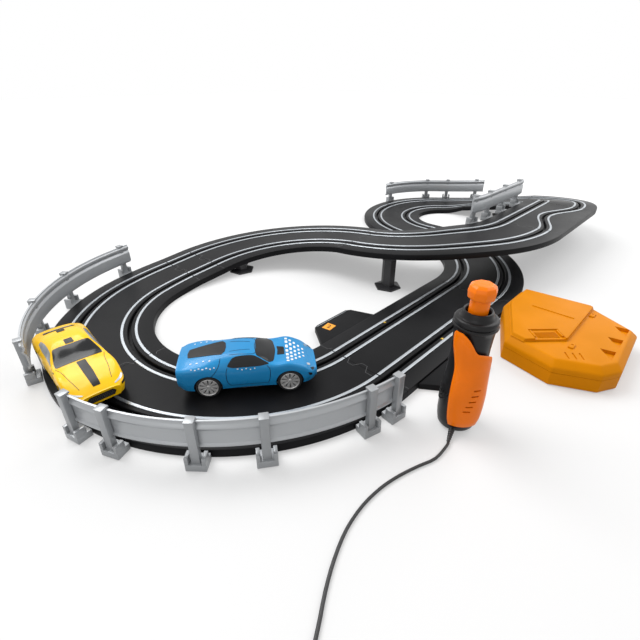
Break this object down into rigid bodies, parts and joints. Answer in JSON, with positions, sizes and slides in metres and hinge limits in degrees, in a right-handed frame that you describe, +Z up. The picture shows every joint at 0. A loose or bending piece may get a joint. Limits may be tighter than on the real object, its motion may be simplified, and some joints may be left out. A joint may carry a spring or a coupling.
{
  "type": "slot car track set",
  "caption": "Two-lane slot car track in a figure of eight with a flyover, guard rails, two coupe cars, a thumb-plunger hand controller and a battery box",
  "frame": {"origin": "Middle of the underside of the plate under the connection straight, on the floor", "axes": "+X runs along the connection straight away from the front loop, +Y to its left towards the inside of the front loop, +Z up"},
  "size_m": [0.8614, 0.5736, 0.1181],
  "materials": {
    "track": "satin black moulding",
    "rail": "plated strip",
    "guard": "silver-grey moulding",
    "support": "black moulding",
    "yellow_shell": "gloss golden yellow",
    "blue_shell": "gloss blue",
    "window": "dark tinted",
    "chassis": "matt black",
    "wheel": "rubber tyre on a silver rim",
    "steel": "plain steel",
    "gear": "white nylon",
    "brass": "turned",
    "handle": "fine matt black",
    "grip": "satin orange",
    "cord": "flexible black sheath",
    "box": "satin orange-yellow"
  },
  "bodies": {
    "track": {"connection_straight": "track", "lower_curve": "track", "rear_curve_1": "track", "rear_curve_2": "track", "rise_straight": "track", "end_curve": "track", "narrow_straight": "track", "flyover_curve": "track", "descent_curve": "track", "exit_straight": "track", "front_curve_1": "track", "front_curve_2": "track", "left_lane_outer_rail": "rail", "left_lane_inner_rail": "rail", "right_lane_inner_rail": "rail", "right_lane_outer_rail": "rail", "power_base_cover": "track", "left_terminal": "track", "right_terminal": "track", "front_guard_rail": "guard", "left_guard_rail": "guard", "rear_guard_rail": "guard", "flyover_guard_rail": "guard", "tall_support": "support", "low_support": "support", "narrow_support": "support", "end_support": "support", "rise_support": "support", "handle_housing": "handle", "left_side_cover": "grip", "right_side_cover": "grip", "plunger_spring": "steel", "strain_relief": "handle", "controller_cord": "cord", "cord_coil": "cord", "jack_plug": "cord", "battery_box_base": "box", "battery_box_top": "box"},
    "plunger": {"plunger": "grip"},
    "door": {"battery_door": "box"},
    "yellow_car": {"yellow_body": "yellow_shell", "yellow_glazing": "window", "yellow_chassis": "chassis", "yellow_motor": "steel", "yellow_guide_pin": "chassis"},
    "yellow_front_wheels": {"yellow_front_wheelset": "wheel"},
    "yellow_rear_wheels": {"yellow_rear_wheelset": "wheel", "yellow_crown_gear": "gear"},
    "yellow_motor_shaft": {"yellow_pinion": "brass"},
    "blue_car": {"blue_body": "blue_shell", "blue_glazing": "window", "blue_chassis": "chassis", "blue_motor": "steel", "blue_guide_pin": "chassis"},
    "blue_front_wheels": {"blue_front_wheelset": "wheel"},
    "blue_rear_wheels": {"blue_rear_wheelset": "wheel", "blue_crown_gear": "gear"},
    "blue_motor_shaft": {"blue_pinion": "brass"}
  },
  "joints": [
    {"name": "yellow_travel", "type": "hinge", "parent": "track", "child": "yellow_car", "pos_m": [-0.10625, 0.154, 0], "axis": [0, 0, 1], "range_deg": [-50, 75]},
    {"name": "yellow_front_wheel_spin", "type": "hinge", "parent": "yellow_car", "child": "yellow_front_wheels", "pos_m": [-0.28552, 0.13085, 0.0173], "axis": [0.9986, -0.0523, 0], "continuous": true},
    {"name": "yellow_rear_wheel_spin", "type": "hinge", "parent": "yellow_car", "child": "yellow_rear_wheels", "pos_m": [-0.28211, 0.19576, 0.0173], "axis": [0.9986, -0.0523, 0], "continuous": true},
    {"name": "yellow_motor_spin", "type": "hinge", "parent": "yellow_car", "child": "yellow_motor_shaft", "pos_m": [-0.28211, 0.19576, 0.0173], "axis": [-0.0523, -0.9986, 0], "continuous": true},
    {"name": "blue_travel", "type": "hinge", "parent": "track", "child": "blue_car", "pos_m": [-0.10625, 0.154, 0], "axis": [0, 0, 1], "range_deg": [-95, 22]},
    {"name": "blue_front_wheel_spin", "type": "hinge", "parent": "blue_car", "child": "blue_front_wheels", "pos_m": [-0.15959, 0.03648, 0.0173], "axis": [0.6293, 0.7771, 0], "continuous": true},
    {"name": "blue_rear_wheel_spin", "type": "hinge", "parent": "blue_car", "child": "blue_rear_wheels", "pos_m": [-0.21011, 0.07739, 0.0173], "axis": [0.6293, 0.7771, 0], "continuous": true},
    {"name": "blue_motor_spin", "type": "hinge", "parent": "blue_car", "child": "blue_motor_shaft", "pos_m": [-0.21011, 0.07739, 0.0173], "axis": [0.7771, -0.6293, 0], "continuous": true},
    {"name": "plunger_press", "type": "slide", "parent": "track", "child": "plunger", "axis": [0, 0, -1], "range_m": [0, 0.008], "stiffness_N_per_m": 120, "springref_m": -0.006, "deforming": ["plunger_spring"]},
    {"name": "battery_door_hinge", "type": "hinge", "parent": "track", "child": "door", "pos_m": [0.05375, -0.05845, 0.0243], "axis": [-1, 0, 0], "range_deg": [0, 90]}
  ],
  "couplings": [
    {"joint": "yellow_front_wheel_spin", "follows": "yellow_travel", "ratio": 17.781},
    {"joint": "yellow_rear_wheel_spin", "follows": "yellow_travel", "ratio": 17.781},
    {"joint": "yellow_motor_spin", "follows": "yellow_travel", "ratio": 53.343},
    {"joint": "blue_front_wheel_spin", "follows": "blue_travel", "ratio": 12.49},
    {"joint": "blue_rear_wheel_spin", "follows": "blue_travel", "ratio": 12.49},
    {"joint": "blue_motor_spin", "follows": "blue_travel", "ratio": 37.47}
  ]
}
